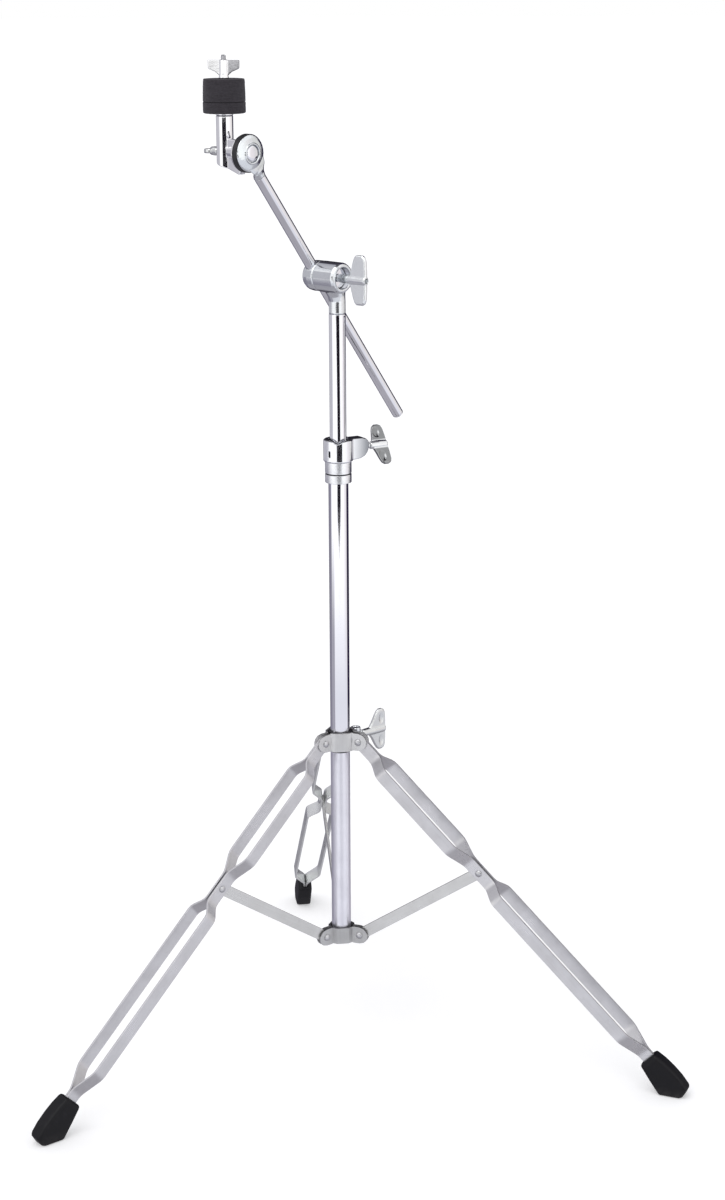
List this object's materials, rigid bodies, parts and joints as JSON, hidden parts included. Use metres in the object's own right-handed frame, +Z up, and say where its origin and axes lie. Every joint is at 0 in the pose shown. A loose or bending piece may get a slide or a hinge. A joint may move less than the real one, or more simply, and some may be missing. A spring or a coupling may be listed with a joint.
{
  "type": "cymbal boom stand",
  "caption": "Folding tripod stand with telescoping tubes, a tilting boom arm and a felt-padded cymbal seat held by wing bolts.",
  "frame": {"origin": "centre of the bounding box's bottom face, on the floor under the rubber feet; the upright tubes' axis stands at x -0.033065, y -0.086436", "axes": "+Z up along the upright tubes, -Y the front that the two forward legs straddle, +X to the right seen from the front"},
  "size_m": [0.8276, 0.7766, 1.296],
  "materials": {
    "base_tube": "satin plate",
    "base_cap": "moulded, black",
    "bracket_plate_0": "satin plate",
    "bracket_plate_1": "satin plate",
    "bracket_plate_2": "satin plate",
    "bracket_rivet_0": "polished chrome",
    "bracket_rivet_1": "polished chrome",
    "bracket_rivet_2": "polished chrome",
    "clamp_sleeve": "polished chrome",
    "clamp_body": "polished chrome",
    "clamp_bushing": "moulded nylon, black",
    "collar_plate_0": "satin plate",
    "collar_plate_1": "satin plate",
    "collar_plate_2": "satin plate",
    "collar_rivet_0": "polished chrome",
    "collar_rivet_1": "polished chrome",
    "collar_rivet_2": "polished chrome",
    "collar_bushing": "moulded nylon, black",
    "collar_nut": "polished chrome",
    "collar_wing_bolt": "cast and chromed",
    "clamp_wing_bolt": "cast and chromed",
    "leg_0_strip_left": "satin plate",
    "leg_0_strip_right": "satin plate",
    "leg_0_rivet_left": "polished chrome",
    "leg_0_rivet_right": "polished chrome",
    "leg_0_foot": "moulded, black",
    "leg_1_strip_left": "satin plate",
    "leg_1_strip_right": "satin plate",
    "leg_1_rivet_left": "polished chrome",
    "leg_1_rivet_right": "polished chrome",
    "leg_1_foot": "moulded, black",
    "leg_2_strip_left": "satin plate",
    "leg_2_strip_right": "satin plate",
    "leg_2_rivet_left": "polished chrome",
    "leg_2_rivet_right": "polished chrome",
    "leg_2_foot": "moulded, black",
    "strut_0": "satin plate",
    "strut_1": "satin plate",
    "strut_2": "satin plate",
    "tube_guide": "moulded nylon, black",
    "upper_tube": "polished chrome",
    "boom_body": "cast and chromed",
    "boom_head": "cast and chromed",
    "boom_washer": "polished chrome",
    "boom_wing_nut": "cast and chromed",
    "boom_end_plug": "polished chrome",
    "boom_rod": "polished chrome",
    "tilter_disc": "polished chrome",
    "tilter_bolt": "polished chrome",
    "tilter_post": "polished chrome",
    "tilter_washer": "moulded, black",
    "stem": "polished chrome",
    "seat_washer": "polished chrome",
    "cymbal_sleeve": "moulded nylon, black",
    "lower_felt": "pressed felt, charcoal",
    "tilter_wing_nut": "cast and chromed",
    "upper_felt": "pressed felt, charcoal",
    "top_wing_nut": "cast and chromed"
  },
  "bodies": {
    "stand": {"base_tube": "base_tube", "base_cap": "base_cap", "bracket_plate_0": "bracket_plate_0", "bracket_plate_1": "bracket_plate_1", "bracket_plate_2": "bracket_plate_2", "bracket_rivet_0": "bracket_rivet_0", "bracket_rivet_1": "bracket_rivet_1", "bracket_rivet_2": "bracket_rivet_2", "clamp_sleeve": "clamp_sleeve", "clamp_body": "clamp_body", "clamp_bushing": "clamp_bushing"},
    "collar": {"collar_plate_0": "collar_plate_0", "collar_plate_1": "collar_plate_1", "collar_plate_2": "collar_plate_2", "collar_rivet_0": "collar_rivet_0", "collar_rivet_1": "collar_rivet_1", "collar_rivet_2": "collar_rivet_2", "collar_bushing": "collar_bushing", "collar_nut": "collar_nut"},
    "collar_wing": {"collar_wing_bolt": "collar_wing_bolt"},
    "clamp_wing": {"clamp_wing_bolt": "clamp_wing_bolt"},
    "leg_0": {"leg_0_strip_left": "leg_0_strip_left", "leg_0_strip_right": "leg_0_strip_right", "leg_0_rivet_left": "leg_0_rivet_left", "leg_0_rivet_right": "leg_0_rivet_right", "leg_0_foot": "leg_0_foot"},
    "leg_1": {"leg_1_strip_left": "leg_1_strip_left", "leg_1_strip_right": "leg_1_strip_right", "leg_1_rivet_left": "leg_1_rivet_left", "leg_1_rivet_right": "leg_1_rivet_right", "leg_1_foot": "leg_1_foot"},
    "leg_2": {"leg_2_strip_left": "leg_2_strip_left", "leg_2_strip_right": "leg_2_strip_right", "leg_2_rivet_left": "leg_2_rivet_left", "leg_2_rivet_right": "leg_2_rivet_right", "leg_2_foot": "leg_2_foot"},
    "brace_0": {"strut_0": "strut_0"},
    "brace_1": {"strut_1": "strut_1"},
    "brace_2": {"strut_2": "strut_2"},
    "height_guide": {"tube_guide": "tube_guide"},
    "upper": {"upper_tube": "upper_tube", "boom_body": "boom_body"},
    "boom_clamp": {"boom_head": "boom_head", "boom_washer": "boom_washer"},
    "boom_nut": {"boom_wing_nut": "boom_wing_nut"},
    "rod_slider": {"boom_end_plug": "boom_end_plug"},
    "rod": {"boom_rod": "boom_rod", "tilter_disc": "tilter_disc", "tilter_bolt": "tilter_bolt"},
    "tilter": {"tilter_post": "tilter_post", "tilter_washer": "tilter_washer", "stem": "stem", "seat_washer": "seat_washer", "cymbal_sleeve": "cymbal_sleeve", "lower_felt": "lower_felt"},
    "tilter_nut": {"tilter_wing_nut": "tilter_wing_nut"},
    "felt_top": {"upper_felt": "upper_felt"},
    "top_nut": {"top_wing_nut": "top_wing_nut"}
  },
  "joints": [
    {"name": "collar_slide", "type": "slide", "parent": "stand", "child": "collar", "axis": [0, 0, 1], "range_m": [0, 0.15]},
    {"name": "collar_wing_turn", "type": "hinge", "parent": "collar", "child": "collar_wing", "pos_m": [-0.03306, -0.08644, 0.4244], "axis": [0.7864, 0.6177, 0], "continuous": true},
    {"name": "leg_0_fold", "type": "hinge", "parent": "collar", "child": "leg_0", "pos_m": [-0.03689, -0.05971, 0.4244], "axis": [-0.9899, -0.1418, 0], "range_deg": [-0.5, 35.59]},
    {"name": "leg_1_fold", "type": "hinge", "parent": "collar", "child": "leg_1", "pos_m": [-0.0543, -0.10311, 0.4244], "axis": [0.6177, -0.7864, 0], "range_deg": [-0.5, 35.59]},
    {"name": "leg_2_fold", "type": "hinge", "parent": "collar", "child": "leg_2", "pos_m": [-0.008, -0.09649, 0.4244], "axis": [0.3722, 0.9282, 0], "range_deg": [-0.5, 35.59]},
    {"name": "brace_0_fold", "type": "hinge", "parent": "stand", "child": "brace_0", "pos_m": [-0.03689, -0.05971, 0.1518], "axis": [-0.9899, -0.1418, 0], "range_deg": [-43.19, 0.5]},
    {"name": "brace_1_fold", "type": "hinge", "parent": "stand", "child": "brace_1", "pos_m": [-0.0543, -0.10311, 0.1518], "axis": [0.6177, -0.7864, 0], "range_deg": [-43.19, 0.5]},
    {"name": "brace_2_fold", "type": "hinge", "parent": "stand", "child": "brace_2", "pos_m": [-0.008, -0.09649, 0.1518], "axis": [0.3722, 0.9282, 0], "range_deg": [-43.19, 0.5]},
    {"name": "clamp_wing_turn", "type": "hinge", "parent": "stand", "child": "clamp_wing", "pos_m": [-0.03306, -0.08644, 0.8104], "axis": [0.8829, 0.4695, 0], "continuous": true},
    {"name": "height_slide", "type": "slide", "parent": "stand", "child": "height_guide", "axis": [0, 0, 1], "range_m": [-0.05, 0.2]},
    {"name": "boom_swivel", "type": "hinge", "parent": "height_guide", "child": "upper", "pos_m": [-0.03306, -0.08644, 0.8974], "axis": [0, 0, 1], "continuous": true},
    {"name": "boom_tilt", "type": "hinge", "parent": "upper", "child": "boom_clamp", "pos_m": [-0.04289, -0.09697, 1.0284], "axis": [0.7314, -0.682, 0], "range_deg": [-20, 50]},
    {"name": "boom_nut_turn", "type": "hinge", "parent": "boom_clamp", "child": "boom_nut", "pos_m": [-0.04289, -0.09697, 1.0284], "axis": [0.7314, -0.682, 0], "continuous": true},
    {"name": "boom_reach", "type": "slide", "parent": "boom_clamp", "child": "rod_slider", "axis": [-0.4139, -0.4438, 0.7948], "range_m": [-0.08, 0.12]},
    {"name": "boom_spin", "type": "hinge", "parent": "rod_slider", "child": "rod", "pos_m": [-0.05751, -0.08333, 1.0284], "axis": [-0.4139, -0.4438, 0.7948], "continuous": true},
    {"name": "tilter_tilt", "type": "hinge", "parent": "rod", "child": "tilter", "pos_m": [-0.1385, -0.17018, 1.18395], "axis": [0.7314, -0.682, 0], "range_deg": [-30, 60]},
    {"name": "tilter_nut_turn", "type": "hinge", "parent": "rod", "child": "tilter_nut", "pos_m": [-0.1385, -0.17018, 1.18395], "axis": [0.7314, -0.682, 0], "continuous": true},
    {"name": "felt_lift", "type": "slide", "parent": "tilter", "child": "felt_top", "axis": [0, 0, 1], "range_m": [0, 0.02]},
    {"name": "top_nut_turn", "type": "hinge", "parent": "felt_top", "child": "top_nut", "pos_m": [-0.1641, -0.14631, 1.18395], "axis": [0, 0, 1], "continuous": true}
  ],
  "couplings": [
    {"joint": "leg_0_fold", "follows": "collar_slide", "rad_per_m": 4.0826},
    {"joint": "leg_1_fold", "follows": "collar_slide", "rad_per_m": 4.0826},
    {"joint": "leg_2_fold", "follows": "collar_slide", "rad_per_m": 4.0826},
    {"joint": "brace_0_fold", "follows": "collar_slide", "rad_per_m": -4.9668},
    {"joint": "brace_1_fold", "follows": "collar_slide", "rad_per_m": -4.9668},
    {"joint": "brace_2_fold", "follows": "collar_slide", "rad_per_m": -4.9668}
  ]
}
